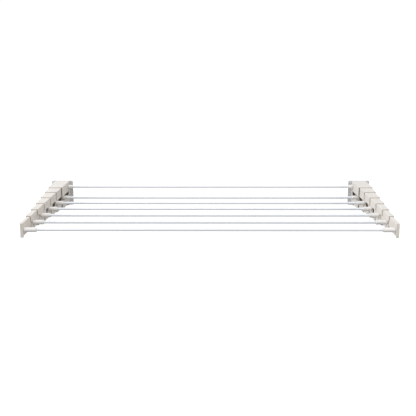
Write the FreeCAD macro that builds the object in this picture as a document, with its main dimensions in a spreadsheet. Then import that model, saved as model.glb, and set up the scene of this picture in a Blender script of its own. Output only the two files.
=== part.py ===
"""Wall mounted drying rack: seven rods carried by two telescoping arms that push back flat to the wall.

Frame: X along the rods, Z up, Y = 0 on the wall. The arms reach out along -Y, and the rack is drawn fully
pulled out. A "reach" is a distance from the wall along -Y, in expressions and in names alike. The right arm
is drawn, and the left arm is its mirror image in the plane X = 0.

Box 1 of an arm is its wall housing, and boxes 2 to 7 are the sliding stages, each one step smaller than the
box that it slides in.
"""

import FreeCAD, Part
import os
import re
import Sketcher

Vector = FreeCAD.Vector

DIMENSIONS = {
    # rods
    "rod_length": 1000,
    "rod_diameter": 8,
    "rod_wall": 0.8,
    "rod_insertion": 16,
    # wall housing, the outermost box of each arm
    "housing_inner_x": 499,
    "housing_width": 48,
    "housing_height": 76.4,
    "housing_reach": 118,
    "housing_back": 3,
    "mouth_depth": 9,
    "side_gap": 2,
    "guide_rib_height": 5,
    "guide_rib_setback": 12,
    # sliding stages
    "box_wall": 2.4,
    "side_step": 3,
    "height_step": 3.2,
    "stage_length": 99,
    "last_stage_extra": 3.5,
    "travel": 72,
    "corner_radius": 1.6,
    "rim_chamfer": 0.5,
    "lip_depth": 3,
    "lip_height": 0.5,
    # rod sockets, and the slots that let them pass
    "socket_diameter": 13.2,
    "socket_tip_round": 1.2,
    "socket_clearance": 0.75,
    "tenon_diameter": 8,
    "front_socket_setback": 1.5,
    "socket_spacing": 16.4,
    "fixed_rod_reach": 24,
    "fixed_rod_height": 21.5,
    "rod_level": -2,
    # glide pads near the back of each stage
    "pad_length": 8,
    "pad_proud": 0.6,
    "pad_side_margin": 3.5,
    "stop_gap": 0.2,
    "play": 0.1,
    # nose cap on the last stage
    "nose_depth": 4,
    "nose_round": 3.4,
    "nose_plug_depth": 3,
    "nose_lip": 4.3,
    # steel wall bracket
    "bracket_x": 524,
    "bracket_width": 74,
    "bracket_top": 39,
    "bracket_bottom": 48,
    "bracket_steel": 2,
    "bracket_corner": 5,
    "flange_depth": 16,
    "flange_width": 40,
    "wall_hole_diameter": 5.5,
    "wall_hole_spacing": 56,
    "screw_window_diameter": 15,
    "hook_width": 16,
    "hook_reach": 8,
    "hook_height": 9,
    "hook_level": 10,
    "hook_clearance": 0.5,
    "hook_lift": 6,
    # locking screw under each housing
    "lock_reach": 9,
    "lock_shank_diameter": 4,
    "lock_shank_length": 10.5,
    "lock_head_diameter": 8,
    "lock_head_height": 2.6,
    "boss_diameter": 10,
}
BOXES = range(1, 8)
LAST = BOXES[-1]
STAGES = BOXES[1:]

doc = FreeCAD.newDocument("drying_rack")
parts = []


# Document helpers


def make_sheet():
    """The spreadsheet that every size in the document follows."""
    dims = doc.addObject("Spreadsheet::Sheet", "dims")
    for row, (name, number) in enumerate(DIMENSIONS.items(), start=1):
        dims.set(f"A{row}", name)
        dims.set(f"B{row}", str(number))
        dims.setAlias(f"B{row}", name)
    doc.recompute()
    return dims


def from_sheet(expression):
    """The expression with the sheet's name before each alias, such as dims.travel."""
    return re.sub(r"([a-z]\w*)", r"dims.\1", expression)


def value(expression):
    """The number that a size expression gives now."""
    return float(sheet.evalExpression(from_sheet(expression)))


def bind(thing, **sizes):
    """Binds properties to size expressions. A double underscore in a name stands for a dot."""
    for name, expression in sizes.items():
        thing.setExpression(name.replace("__", "."), from_sheet(expression))


def new_feature(owner, kind, name):
    """A feature in a body, or a plain object of the document when there is no owner."""
    return owner.newObject(kind, name) if owner else doc.addObject(kind, name)


def place(thing, x, reach, z):
    bind(thing, Placement__Base__x=x, Placement__Base__y=f"-({reach})", Placement__Base__z=z)


def box(owner, kind, name, x, reach, z):
    """A box between three pairs of expressions. The reach pair runs from the back to the front."""
    thing = new_feature(owner, kind, name)
    bind(thing, Length=f"({x[1]}) - ({x[0]})")
    bind(thing, Width=f"({reach[1]}) - ({reach[0]})")
    bind(thing, Height=f"({z[1]}) - ({z[0]})")
    place(thing, x[0], reach[1], z[0])
    return thing


AXIS_TURNS = {
    "x": FreeCAD.Rotation(Vector(0, 1, 0), 90),
    "y": FreeCAD.Rotation(Vector(1, 0, 0), 90),
    "z": FreeCAD.Rotation(),
}


def cylinder(owner, kind, name, axis, diameter, length, x, reach, z):
    """A cylinder from a point along +X, -Y or +Z."""
    thing = new_feature(owner, kind, name)
    thing.Placement = FreeCAD.Placement(Vector(), AXIS_TURNS[axis])
    bind(thing, Radius=f"({diameter}) / 2", Height=length)
    place(thing, x, reach, z)
    return thing


def new_body(label):
    body = doc.addObject("PartDesign::Body", label)
    body.Label = label
    return body


def cross_section(body, name, reach):
    """A sketch across the arm, at a reach from the wall."""
    sketch = body.newObject("Sketcher::SketchObject", name)
    plane = next(f for f in body.Origin.OriginFeatures if f.Role == "XZ_Plane")
    sketch.AttachmentSupport = [(plane, "")]
    sketch.MapMode = "FlatFace"
    bind(sketch, AttachmentOffset__Base__z=reach)
    return sketch


def rectangle(sketch, name, x, z):
    """A rectangle whose sides are held at a pair of x and a pair of z expressions."""
    corners = [Vector(0, 0, 0), Vector(9, 0, 0), Vector(9, 9, 0), Vector(0, 9, 0)]
    first = sketch.GeometryCount
    for start, end in zip(corners, corners[1:] + corners[:1]):
        sketch.addGeometry(Part.LineSegment(start, end), False)
    for side, direction in enumerate(("Horizontal", "Vertical", "Horizontal", "Vertical")):
        following = first + (side + 1) % 4
        sketch.addConstraint(Sketcher.Constraint("Coincident", first + side, 2, following, 1))
        sketch.addConstraint(Sketcher.Constraint(direction, first + side))
    for side, kind, corner, expression in (
        ("left", "DistanceX", 0, x[0]),
        ("right", "DistanceX", 2, x[1]),
        ("bottom", "DistanceY", 0, z[0]),
        ("top", "DistanceY", 2, z[1]),
    ):
        held = Sketcher.Constraint(kind, -1, 1, first + corner, 1, value(expression))
        sketch.renameConstraint(sketch.addConstraint(held), f"{name}_{side}")
        sketch.setExpression(f"Constraints.{name}_{side}", from_sheet(expression))


def pad(body, sketch, name, length):
    """Pads a cross-section towards the front."""
    feature = body.newObject("PartDesign::Pad", name)
    feature.Profile = sketch
    bind(feature, Length=length)
    doc.recompute()


def dress(body, kind, name, size, chosen):
    """A fillet or chamfer on the edges of the body's tip that the test picks out."""
    doc.recompute()
    base = body.Tip
    feature = body.newObject(kind, name)
    feature.Base = (base, [f"Edge{i}" for i, edge in enumerate(base.Shape.Edges, start=1) if chosen(edge)])
    bind(feature, **{"Radius" if kind == FILLET else "Size": size})
    doc.recompute()


FILLET = "PartDesign::Fillet"
CHAMFER = "PartDesign::Chamfer"
ADD_BOX = "PartDesign::AdditiveBox"
CUT_BOX = "PartDesign::SubtractiveBox"
ADD_CYLINDER = "PartDesign::AdditiveCylinder"
CUT_CYLINDER = "PartDesign::SubtractiveCylinder"


def near(number, targets, within=0.01):
    return min(abs(number - target) for target in targets) < within


def runs_along_reach(edge):
    """True for a straight edge along the arm."""
    start, end = edge.Vertexes[0].Point, edge.Vertexes[-1].Point
    return abs(end.y - start.y) > 1 and near(start.x, [end.x]) and near(start.z, [end.z])


def keep(thing, label):
    """Lists a finished sub-part under the name of its file."""
    thing.Label = label
    parts.append(thing)


def keep_both_sides(thing, name):
    """Lists a right-hand sub-part and its mirror image on the left."""
    keep(thing, f"{name}_right")
    mirror = doc.addObject("Part::Mirroring", f"{name}_left")
    mirror.Source = thing
    mirror.Normal = Vector(1, 0, 0)
    keep(mirror, f"{name}_left")


# Where things lie along and across the right arm


def box_x(n, inset="0"):
    """The inner and outer side of a box, moved inwards by an inset. The housing's inner side stands side_gap
    further in."""
    gap = "side_gap" if n > 1 else "0"
    inner = f"housing_inner_x + {gap} + {n - 1} * side_step + ({inset})"
    outer = f"housing_inner_x + housing_width - {n - 1} * side_step - ({inset})"
    return inner, outer


def box_z(n, inset="0"):
    """The bottom and top of a box, moved inwards by an inset."""
    half = f"(housing_height / 2 - {n - 1} * height_step - ({inset}))"
    return f"-{half}", half


def front(n):
    """Reach of a box's front rim. Pushed back, every stage's rim stands mouth_depth inside the housing."""
    return "housing_reach" if n == 1 else f"housing_reach - mouth_depth + {n - 1} * travel"


def back(n):
    return f"{front(n)} - stage_length"


def socket_setback(n):
    """How far the socket of a stage stands behind that stage's front rim."""
    return f"(front_socket_setback + {LAST - n} * socket_spacing)"


def socket_place(n):
    """Reach and height of a rod's axis."""
    if n == 1:
        return "fixed_rod_reach", "fixed_rod_height"
    return f"{front(n)} - {socket_setback(n)}", "rod_level"


def pad_reach(n, spare="0"):
    """The back and front of a stage's glide pads: pulled out, they stand just behind the next lip."""
    lip = f"{front(n - 1)} - lip_depth - stop_gap"
    return f"{lip} - pad_length - ({spare})", f"{lip} + ({spare})"


def pad_x(n, spare="0"):
    return box_x(n, f"pad_side_margin - ({spare})")


# Arms


def make_tube(name, n, start, length):
    """A rectangular tube with rounded long edges and a chamfered front rim."""
    body = new_body(f"{name}_right")
    sketch = cross_section(body, f"{name}_profile", start)
    rectangle(sketch, "outside", box_x(n), box_z(n))
    rectangle(sketch, "inside", box_x(n, "box_wall"), box_z(n, "box_wall"))
    pad(body, sketch, f"{name}_walls", length)
    sides = [value(x) for x in box_x(n)]
    levels = [value(z) for z in box_z(n)]
    rim_y = -value(f"{start} + {length}")

    def is_long_corner(edge):
        point = edge.Vertexes[0].Point
        return runs_along_reach(edge) and near(point.x, sides) and near(point.z, levels)

    def is_outer_rim(edge):
        middle = edge.valueAt((edge.FirstParameter + edge.LastParameter) / 2)
        on_rim = all(near(vertex.Y, [rim_y]) for vertex in edge.Vertexes)
        return on_rim and (near(middle.x, sides, 1) or near(middle.z, levels, 1))

    dress(body, FILLET, f"{name}_corners", "corner_radius", is_long_corner)
    dress(body, CHAMFER, f"{name}_rim", "rim_chamfer", is_outer_rim)
    return body


def cut_slot(body, name, n):
    """The slot in the inner wall, open at the front, that the sockets of the smaller stages run in."""
    radius = "(socket_diameter / 2 + socket_clearance)"
    outside = f"{box_x(n)[0]} - 1"
    end = f"{front(n + 1)} - travel - {socket_setback(n + 1)}"
    x = (outside, f"{box_x(n, 'box_wall')[0]} + play")
    z = (f"rod_level - {radius}", f"rod_level + {radius}")
    box(body, CUT_BOX, f"{name}_slot", x, (end, f"{front(n)} + 1"), z)
    depth = "box_wall + play + 1"
    cylinder(body, CUT_CYLINDER, f"{name}_slot_end", "x", f"2 * {radius}", depth, outside, end, "rod_level")


def cut_tenon_hole(body, name, n):
    """The hole in the inner wall that the socket's tenon is set into."""
    reach, z = socket_place(n)
    outside = f"{box_x(n)[0]} - 1"
    depth = "box_wall + play + 1"
    cylinder(body, CUT_CYLINDER, f"{name}_tenon_hole", "x", "tenon_diameter", depth, outside, reach, z)


def add_lips(body, name, n):
    """Low ridges inside the front rim, above and below, that stop the next stage's glide pads."""
    x = box_x(n, "box_wall - play")
    reach = (f"{front(n)} - lip_depth", f"{front(n)} - rim_chamfer")
    low, high = box_z(n, "box_wall")
    box(body, ADD_BOX, f"{name}_top_lip", x, reach, (f"{high} - lip_height", f"{high} + play"))
    box(body, ADD_BOX, f"{name}_bottom_lip", x, reach, (f"{low} - play", f"{low} + lip_height"))


def make_stage(n):
    name = f"arm_stage_{n}"
    length = "stage_length + last_stage_extra" if n == LAST else "stage_length"
    body = make_tube(name, n, back(n), length)
    cut_tenon_hole(body, name, n)
    if n != LAST:
        add_lips(body, name, n)
        cut_slot(body, name, n)
    low, high = box_z(n)
    x, reach = pad_x(n, "play"), pad_reach(n, "play")
    box(body, CUT_BOX, f"{name}_top_window", x, reach, (f"{high} - box_wall - 1", f"{high} + 1"))
    box(body, CUT_BOX, f"{name}_bottom_window", x, reach, (f"{low} - 1", f"{low} + box_wall + 1"))
    keep_both_sides(body, name)


def make_glide_pads(n):
    """A pad through the top wall and one through the bottom wall of a stage, slightly proud of it."""
    low, high = box_z(n)
    x, reach = pad_x(n), pad_reach(n)
    top = box(None, "Part::Box", f"top_pad_{n}", x, reach, (f"{high} - box_wall", f"{high} + pad_proud"))
    bottom = box(None, "Part::Box", f"bottom_pad_{n}", x, reach, (f"{low} - pad_proud", f"{low} + box_wall"))
    pair = doc.addObject("Part::Compound", f"glide_pads_{n}")
    pair.Links = [top, bottom]
    keep_both_sides(pair, f"glide_pads_{n}")


def make_nose_cap():
    """The rounded front of the last stage, with a lip below to pull it by and a plug for the open end."""
    name = "nose_cap"
    joint = f"{front(LAST)} + last_stage_extra"
    body = new_body(f"{name}_right")
    sketch = cross_section(body, f"{name}_profile", joint)
    bottom, top = box_z(LAST)
    rectangle(sketch, "cap", box_x(LAST), (f"{bottom} - nose_lip", top))
    pad(body, sketch, f"{name}_shell", "nose_depth")
    joint_y = -value(joint)

    def is_front_edge(edge):
        return all(vertex.Y < joint_y - 1 for vertex in edge.Vertexes)

    dress(body, FILLET, f"{name}_corners", "corner_radius", runs_along_reach)
    dress(body, FILLET, f"{name}_round", "nose_round", is_front_edge)
    inset = "box_wall + play"
    reach = (f"{joint} - nose_plug_depth", f"{joint} + play")
    box(body, ADD_BOX, f"{name}_plug", box_x(LAST, inset), reach, box_z(LAST, inset))
    keep_both_sides(body, name)


# Housing, bracket and locking screw


def add_guide_ribs(body, name):
    """Ribs inside the housing's inner wall, above and below the slot, that fill the gap to stage 2."""
    x = (box_x(1, "box_wall - play")[0], box_x(1, "box_wall + side_gap")[0])
    reach = ("bracket_steel + housing_back - play", "housing_reach - guide_rib_setback")
    clear = "(socket_diameter / 2 + 2 * socket_clearance)"
    for row, z in (
        ("upper", (f"rod_level + {clear}", f"rod_level + {clear} + guide_rib_height")),
        ("lower", (f"rod_level - {clear} - guide_rib_height", f"rod_level - {clear}")),
    ):
        box(body, ADD_BOX, f"{name}_{row}_guide_rib", x, reach, z)


def make_housing():
    """The outermost box. Its back hangs on the bracket's hook, and its windows clear the wall screws."""
    name = "wall_housing"
    body = make_tube(name, 1, "bracket_steel", "housing_reach - bracket_steel")
    inset = "box_wall - play"
    back_wall = ("bracket_steel", "bracket_steel + housing_back")
    box(body, ADD_BOX, f"{name}_back", box_x(1, inset), back_wall, box_z(1, inset))
    through = "housing_back + 2"
    behind = "bracket_steel - 1"
    for row, height in (("upper", "wall_hole_spacing / 2"), ("lower", "-wall_hole_spacing / 2")):
        window = f"{name}_{row}_screw_window"
        cylinder(
            body, CUT_CYLINDER, window, "y", "screw_window_diameter", through, "bracket_x", behind, height
        )
    half = "(hook_width / 2 + hook_clearance)"
    hook_x = (f"bracket_x - {half}", f"bracket_x + {half}")
    hook_z = ("hook_level - bracket_steel - hook_lift", "hook_level + hook_height + hook_clearance")
    box(body, CUT_BOX, f"{name}_hook_window", hook_x, (behind, f"{behind} + {through}"), hook_z)
    add_guide_ribs(body, name)
    add_lips(body, name, 1)
    cut_slot(body, name, 1)
    cut_tenon_hole(body, name, 1)
    boss_z = "bracket_steel - bracket_bottom"
    boss_height = f"{box_z(1)[0]} - ({boss_z}) + 1"
    cylinder(
        body, ADD_CYLINDER, f"{name}_boss", "z", "boss_diameter", boss_height, "bracket_x", "lock_reach",
        boss_z,
    )
    bore = "lock_shank_diameter + play"
    depth = "lock_shank_length + 5"
    cylinder(
        body, CUT_CYLINDER, f"{name}_lock_hole", "z", bore, depth, "bracket_x", "lock_reach", f"{boss_z} - 1"
    )
    keep_both_sides(body, name)


def make_bracket():
    """A steel plate with a flange folded forward under the housing, and a hook that carries the housing."""
    name = "wall_bracket"
    body = new_body(f"{name}_right")
    sketch = cross_section(body, f"{name}_profile", "0")
    sides = ("bracket_x - bracket_width / 2", "bracket_x + bracket_width / 2")
    rectangle(sketch, "plate", sides, ("-bracket_bottom", "bracket_top"))
    pad(body, sketch, f"{name}_plate", "bracket_steel")
    dress(body, FILLET, f"{name}_corners", "bracket_corner", runs_along_reach)
    root = "bracket_steel / 2"
    flange_x = ("bracket_x - flange_width / 2", "bracket_x + flange_width / 2")
    flange_z = ("-bracket_bottom", "bracket_steel - bracket_bottom")
    box(body, ADD_BOX, f"{name}_flange", flange_x, (root, "flange_depth"), flange_z)
    hook_x = ("bracket_x - hook_width / 2", "bracket_x + hook_width / 2")
    hook_base = "hook_level - bracket_steel"
    box(body, ADD_BOX, f"{name}_hook_arm", hook_x, (root, "hook_reach"), (hook_base, "hook_level"))
    tip_reach = ("hook_reach - bracket_steel", "hook_reach")
    box(body, ADD_BOX, f"{name}_hook_tip", hook_x, tip_reach, (hook_base, "hook_level + hook_height"))
    through = "bracket_steel + 2"
    for row, height in (("upper", "wall_hole_spacing / 2"), ("lower", "-wall_hole_spacing / 2")):
        hole = f"{name}_{row}_hole"
        cylinder(body, CUT_CYLINDER, hole, "y", "wall_hole_diameter", through, "bracket_x", "-1", height)
    cylinder(
        body, CUT_CYLINDER, f"{name}_lock_hole", "z", "lock_shank_diameter + 4 * play", through, "bracket_x",
        "lock_reach", "-bracket_bottom - 1",
    )
    keep_both_sides(body, name)


def make_locking_screw():
    """A pan-headed screw up through the bracket's flange into the housing's boss."""
    head = cylinder(
        None, "Part::Cylinder", "lock_head", "z", "lock_head_diameter", "lock_head_height", "bracket_x",
        "lock_reach", "-bracket_bottom - lock_head_height",
    )
    shank = cylinder(
        None, "Part::Cylinder", "lock_shank", "z", "lock_shank_diameter", "lock_shank_length", "bracket_x",
        "lock_reach", "-bracket_bottom",
    )
    screw = doc.addObject("Part::Fuse", "locking_screw")
    screw.Base = head
    screw.Tool = shank
    keep_both_sides(screw, "locking_screw")


# Rods and their sockets


def make_socket(n):
    """A sleeve that holds a rod's end, with a tenon set in the arm's inner wall."""
    name = f"rod_socket_{n}"
    reach, z = socket_place(n)
    wall = box_x(n)[0]
    tip = "rod_length / 2 - rod_insertion"
    body = new_body(f"{name}_right")
    cylinder(
        body, ADD_CYLINDER, f"{name}_sleeve", "x", "socket_diameter", f"{wall} - ({tip})", tip, reach, z
    )
    tip_x = value(tip)

    def is_tip_edge(edge):
        return isinstance(edge.Curve, Part.Circle) and near(edge.Curve.Center.x, [tip_x])

    dress(body, FILLET, f"{name}_tip", "socket_tip_round", is_tip_edge)
    cylinder(
        body, ADD_CYLINDER, f"{name}_tenon", "x", "tenon_diameter - play", "box_wall + 1", f"{wall} - 1",
        reach, z,
    )
    cylinder(
        body, CUT_CYLINDER, f"{name}_bore", "x", "rod_diameter + play", "rod_insertion + play + 1",
        f"{tip} - 1", reach, z,
    )
    keep_both_sides(body, name)


def make_rod(n):
    """A thin steel tube."""
    reach, z = socket_place(n)
    start = "-rod_length / 2"
    bore = "rod_diameter - 2 * rod_wall"
    rod = doc.addObject("Part::Cut", f"rod_{n}")
    rod.Base = cylinder(
        None, "Part::Cylinder", f"rod_{n}_outside", "x", "rod_diameter", "rod_length", start, reach, z
    )
    rod.Tool = cylinder(
        None, "Part::Cylinder", f"rod_{n}_bore", "x", bore, "rod_length + 2", f"{start} - 1", reach, z
    )
    keep(rod, f"drying_rod_{n}")


# Checks and files


def check_document():
    doc.recompute()
    for thing in doc.Objects:
        if "Invalid" in thing.State or "Error" in thing.State:
            raise RuntimeError(f"{thing.Name} failed: {thing.State}")
    for part in parts:
        if part.Shape.isNull() or not part.Shape.isValid() or not part.Shape.Solids:
            raise RuntimeError(f"{part.Label} has no valid solid")


def export():
    os.makedirs("parts", exist_ok=True)
    for part in parts:
        part.Shape.exportStep(f"parts/{part.Label}.step")
        print(f"{part.Label}: {len(part.Shape.Solids)} solid(s), {part.Shape.Volume / 1000:.2f} cm3")


sheet = make_sheet()
make_bracket()
make_housing()
for number in STAGES:
    make_stage(number)
    make_glide_pads(number)
make_nose_cap()
for number in BOXES:
    make_socket(number)
    make_rod(number)
make_locking_screw()
check_document()
export()
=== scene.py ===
import math

import bmesh
import bpy
from mathutils import Matrix, Vector


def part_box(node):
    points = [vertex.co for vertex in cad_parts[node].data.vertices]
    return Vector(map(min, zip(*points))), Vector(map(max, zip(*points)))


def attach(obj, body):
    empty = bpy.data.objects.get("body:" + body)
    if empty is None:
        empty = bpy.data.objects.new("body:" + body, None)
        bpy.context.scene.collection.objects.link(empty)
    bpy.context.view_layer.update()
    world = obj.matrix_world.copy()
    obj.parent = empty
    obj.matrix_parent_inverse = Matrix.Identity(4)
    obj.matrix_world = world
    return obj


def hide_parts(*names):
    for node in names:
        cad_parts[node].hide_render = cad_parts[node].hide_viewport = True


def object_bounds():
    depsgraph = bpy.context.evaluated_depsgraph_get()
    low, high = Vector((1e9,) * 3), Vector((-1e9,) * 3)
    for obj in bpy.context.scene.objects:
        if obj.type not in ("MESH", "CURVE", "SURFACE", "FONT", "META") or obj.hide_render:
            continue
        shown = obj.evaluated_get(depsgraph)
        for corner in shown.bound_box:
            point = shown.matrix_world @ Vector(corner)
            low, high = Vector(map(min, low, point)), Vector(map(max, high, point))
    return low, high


# Looks of the wall mounted telescoping drying rack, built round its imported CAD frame, in metres.

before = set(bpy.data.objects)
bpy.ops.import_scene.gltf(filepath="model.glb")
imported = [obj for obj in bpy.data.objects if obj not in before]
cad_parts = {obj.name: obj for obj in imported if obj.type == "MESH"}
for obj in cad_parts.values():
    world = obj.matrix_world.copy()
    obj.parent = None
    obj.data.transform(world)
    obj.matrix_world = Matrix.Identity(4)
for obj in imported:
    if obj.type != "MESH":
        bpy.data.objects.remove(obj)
cad_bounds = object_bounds()

MM = 0.001
SIDES = ("left", "right")
BOXES = range(1, 8)


# Materials

# Painted shade: base colours turn toward this brown where another surface lies within this reach,
# standing in for the shade in joints, gaps and at the sleeve roots.
PAINTED_SHADE_REACH = 2 * MM
PAINTED_SHADE_BROWN = (0.55, 0.42, 0.32)


class Finish:
    """A node material around one Principled shader, mapped in the rack's own space. The shader's
    sockets are named with _ for a space."""

    def __init__(self, name, **shader):
        self.material = bpy.data.materials.new(name)
        self.material.use_nodes = True
        self.tree = self.material.node_tree
        self.shader = self.tree.nodes["Principled BSDF"]
        for socket, value in shader.items():
            self.shader.inputs[socket.replace("_", " ")].default_value = value
        self.space = self.tree.nodes.new("ShaderNodeTexCoord").outputs["Object"]

    def link(self, source, target):
        self.tree.links.new(source, target)

    def noise(self, size, detail, stretch=(1, 1, 1)):
        """Noise whose grain is about one size across, drawn out along an axis by stretch."""
        mapping = self.tree.nodes.new("ShaderNodeMapping")
        mapping.inputs["Scale"].default_value = stretch
        self.link(self.space, mapping.inputs["Vector"])
        noise = self.tree.nodes.new("ShaderNodeTexNoise")
        noise.inputs["Scale"].default_value = 1 / size
        noise.inputs["Detail"].default_value = detail
        self.link(mapping.outputs["Vector"], noise.inputs["Vector"])
        return noise.outputs["Fac"]

    def colours(self, pattern, *stops, recess=None):
        """Base colour from a ramp of (position, colour) stops, with painted shade in recesses if asked
        for: darker and browner where another surface is close.
        """
        ramp = self.tree.nodes.new("ShaderNodeValToRGB")
        for index, (position, colour) in enumerate(stops):
            if index < 2:
                element = ramp.color_ramp.elements[index]
                element.position = position
            else:
                element = ramp.color_ramp.elements.new(position)
            element.color = (*colour, 1)
        self.link(pattern, ramp.inputs["Fac"])
        colour = ramp.outputs["Color"]
        if recess:
            colour = self.with_painted_shade(colour, recess)
        self.link(colour, self.shader.inputs["Base Color"])

    def with_painted_shade(self, colour, recess):
        """Painted shade: a colour multiplied by the recess colour where another surface is close in
        front, found by an ambient occlusion mask.
        """
        # Ambient occlusion mask that places the painted shade.
        painted_shade_mask = self.tree.nodes.new("ShaderNodeAmbientOcclusion")
        painted_shade_mask.inputs["Distance"].default_value = PAINTED_SHADE_REACH
        shade_tint = self.tree.nodes.new("ShaderNodeMix")
        shade_tint.data_type = "RGBA"
        shade_tint.inputs["A"].default_value = (*recess, 1)
        shade_tint.inputs["B"].default_value = (1, 1, 1, 1)
        with_painted_shade = self.tree.nodes.new("ShaderNodeMix")
        with_painted_shade.data_type = "RGBA"
        with_painted_shade.blend_type = "MULTIPLY"
        with_painted_shade.inputs["Factor"].default_value = 1
        self.link(painted_shade_mask.outputs["AO"], shade_tint.inputs["Factor"])
        self.link(colour, with_painted_shade.inputs["A"])
        self.link(shade_tint.outputs["Result"], with_painted_shade.inputs["B"])
        return with_painted_shade.outputs["Result"]

    def roughness(self, pattern, low, high):
        """Roughness between two values, by a pattern."""
        spread = self.tree.nodes.new("ShaderNodeMapRange")
        spread.inputs["To Min"].default_value = low
        spread.inputs["To Max"].default_value = high
        self.link(pattern, spread.inputs["Value"])
        self.link(spread.outputs["Result"], self.shader.inputs["Roughness"])

    def relief(self, *layers):
        """Bumps from (pattern, depth) layers, each laid over the one before."""
        normal = None
        for pattern, depth in layers:
            bump = self.tree.nodes.new("ShaderNodeBump")
            bump.inputs["Distance"].default_value = depth
            self.link(pattern, bump.inputs["Height"])
            if normal:
                self.link(normal, bump.inputs["Normal"])
            normal = bump.outputs["Normal"]
        self.link(normal, self.shader.inputs["Normal"])


def shade(colour, share):
    """The colour, darker or lighter."""
    return tuple(channel * share for channel in colour)


def arm_plastic():
    """Warm off-white moulding with a spark-eroded surface and faint flow marks, and painted shade: brown
    darkening in its joints and gaps where another surface is close.
    """
    cream = (0.74, 0.69, 0.63)
    finish = Finish("arm_plastic", IOR=1.49)
    clouds = finish.noise(35 * MM, detail=4, stretch=(1, 0.35, 1))
    grain = finish.noise(0.45 * MM, detail=2)
    stops = [(0.3, shade(cream, 0.965)), (0.55, cream), (0.75, shade(cream, 1.015))]
    # Painted shade: the colour turns darker and browner in joints and gaps, where another surface is
    # close.
    finish.colours(clouds, *stops, recess=PAINTED_SHADE_BROWN)
    finish.roughness(clouds, 0.46, 0.58)
    flow = finish.noise(9 * MM, detail=2, stretch=(1, 0.4, 1))
    finish.relief((grain, 0.03 * MM), (flow, 0.05 * MM))
    return finish.material


def socket_plastic():
    """Smooth satin white moulding, with painted shade: brown darkening where another surface is close,
    as at the arm wall.
    """
    white = (0.90, 0.865, 0.82)
    finish = Finish("socket_plastic", IOR=1.49, Coat_Weight=0.8, Coat_Roughness=0.15)
    clouds = finish.noise(12 * MM, detail=3)
    # Painted shade: the colour turns darker and browner where another surface is close, as at the arm
    # wall.
    finish.colours(clouds, (0.35, shade(white, 0.98)), (0.7, white), recess=PAINTED_SHADE_BROWN)
    finish.roughness(clouds, 0.34, 0.44)
    finish.relief((finish.noise(0.5 * MM, detail=2), 0.012 * MM))
    return finish.material


def coated_rod():
    """Satin white powder coat, with its orange peel and a few streaks along the tube."""
    white = (0.92, 0.93, 0.945)
    finish = Finish("coated_rod", IOR=1.5, Coat_Weight=0.25, Coat_Roughness=0.22)
    streaks = finish.noise(3 * MM, detail=3, stretch=(0.03, 1, 1))
    finish.colours(streaks, (0.3, shade(white, 0.975)), (0.65, white))
    finish.roughness(streaks, 0.30, 0.40)
    finish.relief((finish.noise(1.4 * MM, detail=2), 0.02 * MM))
    return finish.material


def bracket_steel():
    """Grey lacquered sheet steel with a fine speckle."""
    grey = (0.66, 0.665, 0.67)
    finish = Finish("bracket_steel", IOR=1.5, Metallic=0.25)
    speckle = finish.noise(0.8 * MM, detail=4)
    finish.colours(speckle, (0.3, shade(grey, 0.86)), (0.55, grey), (0.75, shade(grey, 1.12)))
    finish.roughness(finish.noise(18 * MM, detail=4), 0.38, 0.52)
    finish.relief((speckle, 0.025 * MM))
    return finish.material


def zinc_screw():
    """Bright zinc plate, a little uneven."""
    zinc = (0.66, 0.68, 0.71)
    yellowed = (0.72, 0.71, 0.66)
    finish = Finish("zinc_screw", Metallic=1.0)
    patches = finish.noise(1.5 * MM, detail=4)
    finish.colours(patches, (0.3, shade(zinc, 0.82)), (0.6, zinc), (0.8, yellowed))
    finish.roughness(patches, 0.24, 0.42)
    finish.relief((finish.noise(0.3 * MM, detail=2), 0.01 * MM))
    return finish.material


def glide_plastic():
    """Waxy natural acetal, rubbed along its travel."""
    acetal = (0.70, 0.70, 0.68)
    finish = Finish("glide_plastic", IOR=1.48)
    rubbed = finish.noise(1.2 * MM, detail=3, stretch=(1, 0.08, 1))
    finish.colours(rubbed, (0.3, shade(acetal, 0.88)), (0.65, acetal))
    finish.roughness(rubbed, 0.28, 0.5)
    finish.relief((rubbed, 0.02 * MM))
    return finish.material


def give(piece, material):
    """Makes a material the only one of a piece."""
    piece.data.materials.clear()
    piece.data.materials.append(material)


# Pieces

ROD_SEGMENTS = 48
SLEEVE_SEGMENTS = 40
SCREW_SEGMENTS = 40
SHARP_ANGLE = math.radians(35)


def body_of_box(n):
    return "root" if n == 1 else f"stage_{n}"


def new_piece(name, mesh, material, body, slot, *stands_for):
    """Puts a mesh in the scene as a piece that rides on a body and stands for CAD nodes."""
    piece = bpy.data.objects.new(name, mesh)
    bpy.context.scene.collection.objects.link(piece)
    give(piece, material)
    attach(piece, body)
    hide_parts(*stands_for)
    return piece


def turned(name, profile, segments, seam=0.0):
    """A closed surface turned round the X axis from (x, radius) points. They go round the section of
    a tube's wall or, with radius 0 at both ends, from pole to pole. A seam stands proud on two sides."""
    mesh = bpy.data.meshes.new(name)
    shape = bmesh.new()
    rings = []
    for x, radius in profile:
        ring = []
        for step in range(segments if radius else 1):
            angle = 2 * math.pi * step / segments
            across = radius + (seam if radius and step % (segments // 2) == 0 else 0)
            ring.append(shape.verts.new((x, across * math.cos(angle), across * math.sin(angle))))
        rings.append(ring)
    from_poles = len(rings[0]) == 1
    for ring, following in zip(rings, rings[1:] if from_poles else rings[1:] + rings[:1]):
        for step in range(segments):
            beside = (step + 1) % segments
            if len(ring) == 1:
                shape.faces.new((ring[0], following[beside], following[step]))
            elif len(following) == 1:
                shape.faces.new((ring[step], ring[beside], following[0]))
            else:
                shape.faces.new((ring[step], ring[beside], following[beside], following[step]))
    bmesh.ops.recalc_face_normals(shape, faces=shape.faces)
    shape.to_mesh(mesh)
    shape.free()
    mesh.shade_smooth()
    mesh.set_sharp_from_angle(angle=SHARP_ANGLE)
    return mesh


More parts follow.
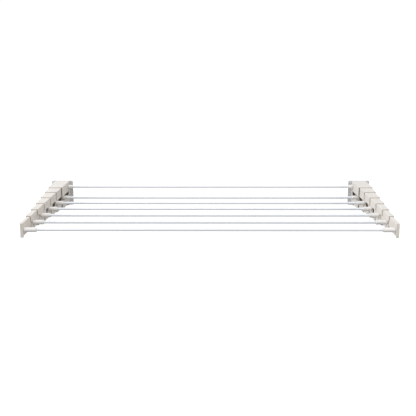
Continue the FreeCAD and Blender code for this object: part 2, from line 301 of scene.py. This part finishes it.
def arc(centre, radius, start, end, steps=5):
    """Points along an arc from one angle to another, in degrees, for a turned profile."""
    points = []
    for step in range(steps + 1):
        angle = math.radians(start + (end - start) * step / steps)
        points.append((centre[0] + radius * math.cos(angle), centre[1] + radius * math.sin(angle)))
    return points


def make_rod(n, material):
    """A coated tube with softened ends."""
    node = f"drying_rod_{n}"
    low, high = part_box(node)
    radius = (high.z - low.z) / 2
    wall = 0.8 * MM
    soft = 0.3 * MM
    left_end = arc((low.x + soft, radius - soft), soft, 180, 90)
    right_end = arc((high.x - soft, radius - soft), soft, 90, 0)
    bore = [(high.x, radius - wall), (low.x, radius - wall)]
    mesh = turned(f"rod_tube_{n}", left_end + right_end + bore, ROD_SEGMENTS)
    mesh.transform(Matrix.Translation((0, (low.y + high.y) / 2, (low.z + high.z) / 2)))
    return new_piece(f"rod_tube_{n}", mesh, material, body_of_box(n), "coated_rod", node)


def make_socket(n, side, material):
    """A moulded sleeve with a rounded mouth, a shallow ring near it, a neck at the arm and a tenon."""
    node = f"rod_socket_{n}_{side}"
    low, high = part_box(node)
    rod_low, rod_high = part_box(f"drying_rod_{n}")
    length = high.x - low.x
    radius = (high.z - low.z) / 2
    play, end_gap = 0.05 * MM, 0.1 * MM
    bore = (rod_high.z - rod_low.z) / 2 + play
    bore_depth = (rod_high.x - rod_low.x) / 2 - min(abs(low.x), abs(high.x)) + end_gap
    tenon, tenon_length, tenon_chamfer = 3.95 * MM, 2.4 * MM, 0.2 * MM
    mouth, lead_in = 1.2 * MM, 0.5 * MM
    ring_start, ring_end, ring_depth = 3.6 * MM, 5.0 * MM, 0.25 * MM
    neck_width, neck_depth, neck_slope = 1.1 * MM, 0.7 * MM, 0.3 * MM
    root = length - tenon_length
    profile = (
        [(bore_depth, 0), (bore_depth, bore), (lead_in, bore), (0, bore + lead_in)]
        + arc((mouth, radius - mouth), mouth, 180, 90)
        + [(ring_start, radius), (ring_start + ring_depth, radius - ring_depth)]
        + [(ring_end - ring_depth, radius - ring_depth), (ring_end, radius)]
        + [(root - neck_width, radius), (root - neck_width + neck_slope, radius - neck_depth)]
        + [(root, radius - neck_depth), (root, tenon)]
        + [(length - tenon_chamfer, tenon), (length, tenon - tenon_chamfer), (length, 0)]
    )
    mesh = turned(f"rod_sleeve_{n}_{side}", profile, SLEEVE_SEGMENTS, seam=0.06 * MM)
    middle = ((low.y + high.y) / 2, (low.z + high.z) / 2)
    if side == "right":
        mesh.transform(Matrix.Translation((low.x, *middle)))
    else:
        mesh.transform(Matrix.Translation((high.x, *middle)) @ Matrix.Rotation(math.pi, 4, "Z"))
    return new_piece(mesh.name, mesh, material, body_of_box(n), "socket_plastic", node)


def cross_recess(screw):
    """A copy of the screw's mesh with a tapering cross sunk into its head, which faces down at the
    origin. The blades that cut it reach as far below the head as into it."""
    blade_length, blade_width, depth, taper = 4.4 * MM, 1.0 * MM, 1.7 * MM, 0.45
    blades = bpy.data.meshes.new("blades")
    shape = bmesh.new()
    for turn in (0, 90):
        blade = bmesh.ops.create_cube(shape, size=1)["verts"]
        for corner in blade:
            share = taper if corner.co.z > 0 else 1
            corner.co.x *= blade_length * share
            corner.co.y *= blade_width
            corner.co.z *= 2 * depth
        bmesh.ops.rotate(shape, verts=blade, matrix=Matrix.Rotation(math.radians(turn), 3, "Z"))
    shape.to_mesh(blades)
    shape.free()
    helpers = [bpy.data.objects.new(mesh.name, mesh) for mesh in (screw, blades)]
    for helper in helpers:
        bpy.context.scene.collection.objects.link(helper)
    cut = helpers[0].modifiers.new("recess", "BOOLEAN")
    cut.object = helpers[1]
    cut.use_self = True
    scene_state = bpy.context.evaluated_depsgraph_get()
    result = bpy.data.meshes.new_from_object(helpers[0].evaluated_get(scene_state))
    for helper in helpers:
        bpy.data.objects.remove(helper)
    return result


def make_screw(side, material):
    """A pan head with a cross recess, on a ridged shank that points up into the housing's boss."""
    node = f"locking_screw_{side}"
    low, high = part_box(node)
    length = high.z - low.z
    head, head_height, dome = (high.x - low.x) / 2, 2.6 * MM, 1.3 * MM
    crest, core = 2 * MM, 1.65 * MM
    tip, tip_length = 0.8 * MM, 0.6 * MM
    ridges, pitch = 6, 1.4 * MM
    ridge_profile = ((0, core), (0.35, crest), (0.5, crest), (0.85, core))
    profile = [(0, 0)] + arc((dome, head - dome), dome, 180, 90)
    profile += [(head_height, head), (head_height, core)]
    for ridge in range(ridges):
        start = head_height + (1 + ridge) * pitch
        profile += [(start + share * pitch, radius) for share, radius in ridge_profile]
    profile += [(length - tip_length, core), (length, tip), (length, 0)]
    screw = turned("plain_screw", profile, SCREW_SEGMENTS)
    screw.transform(Matrix.Rotation(-math.pi / 2, 4, "Y"))
    mesh = cross_recess(screw)
    mesh.set_sharp_from_angle(angle=SHARP_ANGLE)
    mesh.transform(Matrix.Translation(((low.x + high.x) / 2, (low.y + high.y) / 2, low.z)))
    return new_piece(f"lock_screw_{side}", mesh, material, "root", "zinc_screw", node)


def soften(piece, width):
    """Rounds a CAD node's sharp edges a little, as a moulding or a pressing has them."""
    weld = piece.modifiers.new("weld", "WELD")
    weld.merge_threshold = 0.001 * MM
    bevel = piece.modifiers.new("soft_edges", "BEVEL")
    bevel.width = width
    bevel.segments = 2
    bevel.limit_method = "ANGLE"
    bevel.angle_limit = math.radians(40)
    bevel.use_clamp_overlap = True
    flatten = piece.modifiers.new("flat_faces", "WEIGHTED_NORMAL")
    flatten.keep_sharp = True


arms = arm_plastic()
sockets = socket_plastic()
coating = coated_rod()
steel = bracket_steel()
zinc = zinc_screw()
acetal = glide_plastic()

for n in BOXES:
    make_rod(n, coating)
    for side in SIDES:
        make_socket(n, side, sockets)

for side in SIDES:
    make_screw(side, zinc)

CAD_LOOKS = {
    "wall_housing": (arms, 0.3 * MM),
    "arm_stage": (arms, 0.25 * MM),
    "nose_cap": (arms, 0.2 * MM),
    "wall_bracket": (steel, 0.3 * MM),
    "glide_pads": (acetal, 0.2 * MM),
}
for start, (material, width) in CAD_LOOKS.items():
    for name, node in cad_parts.items():
        if name.startswith(start):
            give(node, material)
            soften(node, width)


# Camera, floor and light

CAMERA_X = 0.0142
CAMERA_DISTANCE = 2.4261
CAMERA_HEIGHT = 0.4832
CAMERA_PITCH = math.radians(12.632)
CAMERA_YAW = math.radians(0.534)
CAMERA_ROLL = math.radians(-0.095)
CAMERA_LENS = 60.31

camera_data = bpy.data.cameras.new("camera")
camera_data.lens = CAMERA_LENS
camera_data.sensor_width = 36
camera = bpy.data.objects.new("camera", camera_data)
camera.location = (CAMERA_X, -CAMERA_DISTANCE, CAMERA_HEIGHT)
camera.rotation_euler = (
    Matrix.Rotation(CAMERA_YAW, 3, "Z")
    @ Matrix.Rotation(math.pi / 2 - CAMERA_PITCH, 3, "X")
    @ Matrix.Rotation(CAMERA_ROLL, 3, "Z")
).to_euler()
bpy.context.scene.collection.objects.link(camera)
bpy.context.scene.camera = camera

FLOOR_LEVEL = -1.65
FLOOR_HALF_WIDTH = 40
BACKDROP_GLOW = 1.05


def make_floor():
    """A plain white floor, as bright as the backdrop, that throws no light back on the rack."""
    mesh = bpy.data.meshes.new("floor")
    half = FLOOR_HALF_WIDTH
    corners = [(-half, -half, 0), (half, -half, 0), (half, half, 0), (-half, half, 0)]
    mesh.from_pydata(corners, [], [(0, 1, 2, 3)])
    floor = bpy.data.objects.new("floor", mesh)
    floor.location.z = FLOOR_LEVEL
    bpy.context.scene.collection.objects.link(floor)
    material = bpy.data.materials.new("floor")
    material.use_nodes = True
    shader = material.node_tree.nodes["Principled BSDF"]
    shader.inputs["Base Color"].default_value = (0, 0, 0, 1)
    shader.inputs["Emission Color"].default_value = (1, 1, 1, 1)
    shader.inputs["Emission Strength"].default_value = BACKDROP_GLOW
    floor.data.materials.append(material)
    floor.visible_diffuse = False
    floor.visible_glossy = False
    floor.visible_shadow = False


BRIGHT_SIDE = Vector((-0.2, 0, 0.65)).normalized()
DIM_LIGHT = (0.06, 0.055, 0.05)
BRIGHT_LIGHT = (1.17, 1.22, 1.29)


def make_world():
    """A white backdrop for the eye. Its light on the rack fades evenly from the bright side, above and
    a little to the left, to the opposite side, and turns a little warmer on the way."""
    world = bpy.data.worlds.new("studio")
    bpy.context.scene.world = world
    world.use_nodes = True
    tree = world.node_tree
    tree.nodes.clear()
    output = tree.nodes.new("ShaderNodeOutputWorld")
    choice = tree.nodes.new("ShaderNodeMixShader")
    path = tree.nodes.new("ShaderNodeLightPath")
    seen = tree.nodes.new("ShaderNodeBackground")
    seen.inputs["Color"].default_value = (1, 1, 1, 1)
    seen.inputs["Strength"].default_value = BACKDROP_GLOW
    lit = tree.nodes.new("ShaderNodeBackground")
    where = tree.nodes.new("ShaderNodeTexCoord")
    facing = tree.nodes.new("ShaderNodeVectorMath")
    facing.operation = "DOT_PRODUCT"
    facing.inputs[1].default_value = BRIGHT_SIDE
    share = tree.nodes.new("ShaderNodeMapRange")
    share.inputs["From Min"].default_value = -1
    fade = tree.nodes.new("ShaderNodeMix")
    fade.data_type = "VECTOR"
    fade.inputs["A"].default_value = DIM_LIGHT
    fade.inputs["B"].default_value = BRIGHT_LIGHT
    for source, target in (
        (where.outputs["Generated"], facing.inputs[0]),
        (facing.outputs["Value"], share.inputs["Value"]),
        (share.outputs["Result"], fade.inputs["Factor"]),
        (fade.outputs["Result"], lit.inputs["Color"]),
        (path.outputs["Is Camera Ray"], choice.inputs["Fac"]),
        (lit.outputs["Background"], choice.inputs[1]),
        (seen.outputs["Background"], choice.inputs[2]),
        (choice.outputs["Shader"], output.inputs["Surface"]),
    ):
        tree.links.new(source, target)


def make_light(name, place, aim, size, power, colour):
    """A square softbox that points from one place to another."""
    data = bpy.data.lights.new(name, "AREA")
    data.color = colour
    data.size = size
    data.energy = power
    light = bpy.data.objects.new(name, data)
    light.location = place
    light.rotation_euler = (Vector(aim) - Vector(place)).to_track_quat("-Z", "Y").to_euler()
    bpy.context.scene.collection.objects.link(light)


# Each light's place, size, power and colour.
LIGHTS = {
    "key_light": ((-1.6, -0.6, 2.6), 0.8, 8, (1.0, 0.98, 0.95)),
    "left_light": ((-2.4, -0.6, 0.35), 1.0, 27, (1.0, 0.95, 0.90)),
    "right_light": ((2.4, -1.2, 0.35), 1.0, 20, (1.0, 0.88, 0.76)),
}

make_floor()
make_world()
middle = (cad_bounds[0] + cad_bounds[1]) / 2
for name, (place, size, power, colour) in LIGHTS.items():
    make_light(name, place, middle, size, power, colour)

bpy.context.scene.view_settings.view_transform = "Standard"
